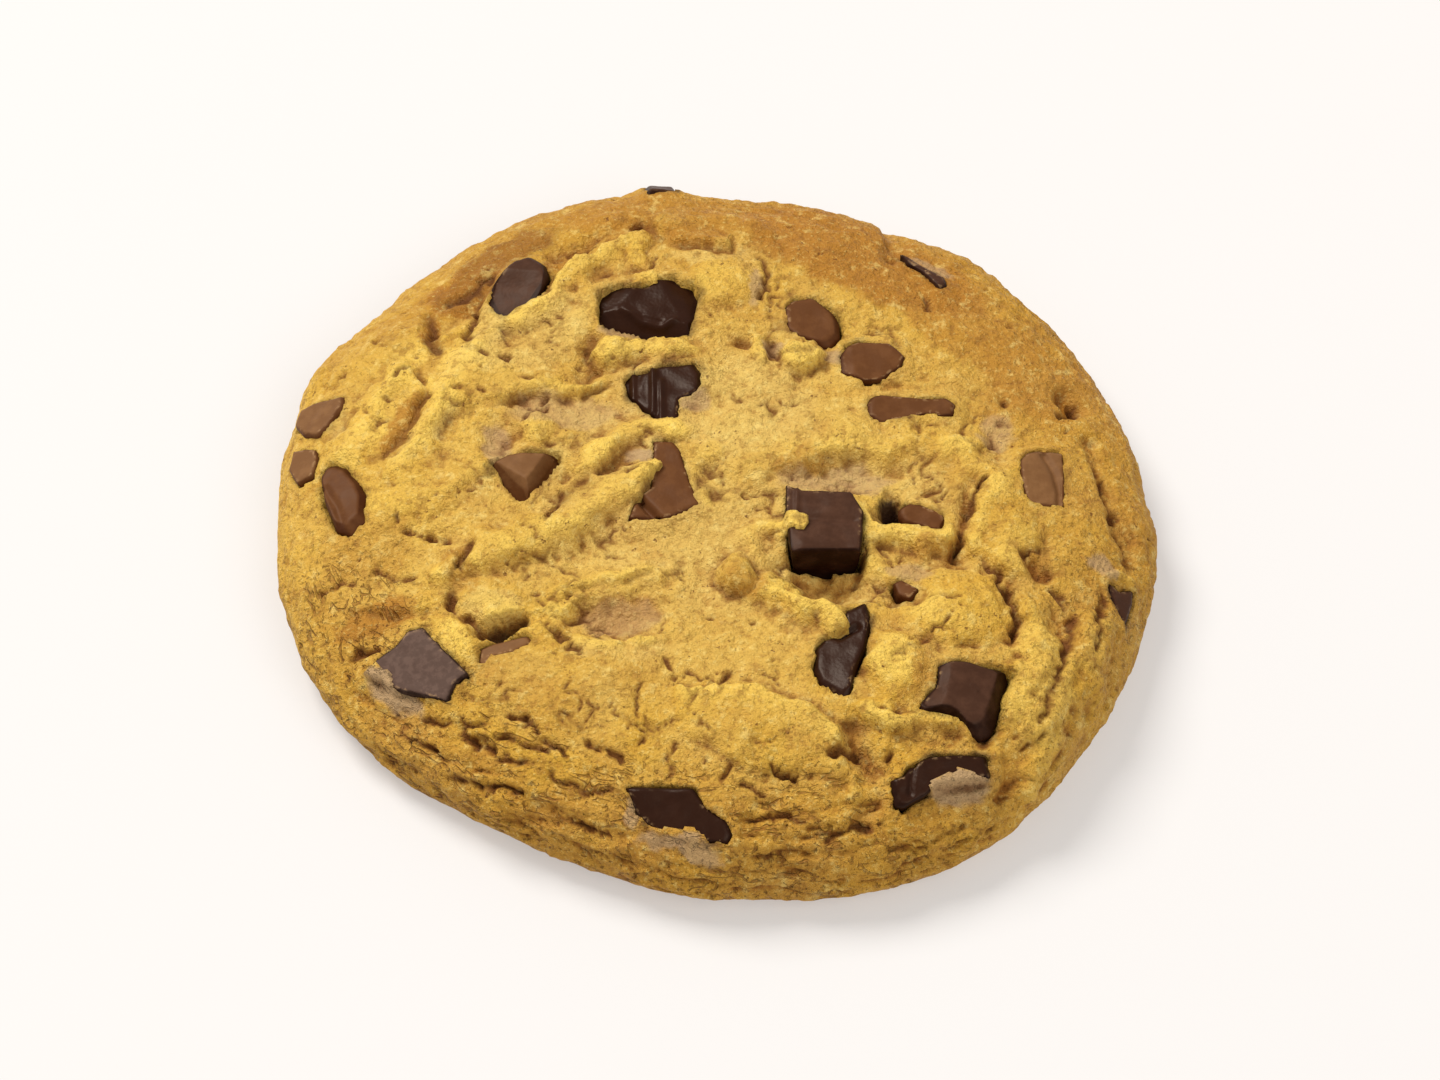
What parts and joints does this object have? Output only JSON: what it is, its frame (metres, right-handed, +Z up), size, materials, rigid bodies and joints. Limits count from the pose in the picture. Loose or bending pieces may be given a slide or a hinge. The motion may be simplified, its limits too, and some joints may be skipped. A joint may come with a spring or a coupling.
{
  "type": "chocolate chunk cookie",
  "caption": "Round golden baked cookie with a craggy domed top, broken dark and milk chocolate chunks set into its top and rim, and a flat browned underside.",
  "frame": {"origin": "middle of the flat underside, at the bottom centre of the cookie's box", "axes": "+Z up through the crown, +X across the cookie to the right and -Y to the front as it is shown lying on its underside"},
  "size_m": [0.0878, 0.0872, 0.0148],
  "materials": {
    "baked_dough": "matt golden baked crumb, browner on the rim and the underside",
    "dark_chocolate": "semi-gloss dark chocolate with soft broken edges",
    "milk_chocolate": "satin milk chocolate"
  },
  "bodies": {
    "root": {"dough": "baked_dough", "dark_chunk_1": "dark_chocolate", "dark_chunk_2": "dark_chocolate", "dark_chunk_3": "dark_chocolate", "dark_chunk_4": "dark_chocolate", "dark_chunk_5": "dark_chocolate", "dark_chunk_6": "dark_chocolate", "dark_chunk_7": "dark_chocolate", "dark_chunk_8": "dark_chocolate", "dark_chunk_9": "dark_chocolate", "dark_chunk_10": "dark_chocolate", "dark_chunk_11": "dark_chocolate", "dark_chunk_12": "dark_chocolate", "milk_chunk_1": "milk_chocolate", "milk_chunk_2": "milk_chocolate", "milk_chunk_3": "milk_chocolate", "milk_chunk_4": "milk_chocolate", "milk_chunk_5": "milk_chocolate", "milk_chunk_6": "milk_chocolate", "milk_chunk_7": "milk_chocolate", "milk_chunk_8": "milk_chocolate", "milk_chunk_9": "milk_chocolate", "milk_chunk_10": "milk_chocolate", "milk_chunk_11": "milk_chocolate", "milk_chunk_12": "milk_chocolate"}
  },
  "joints": []
}
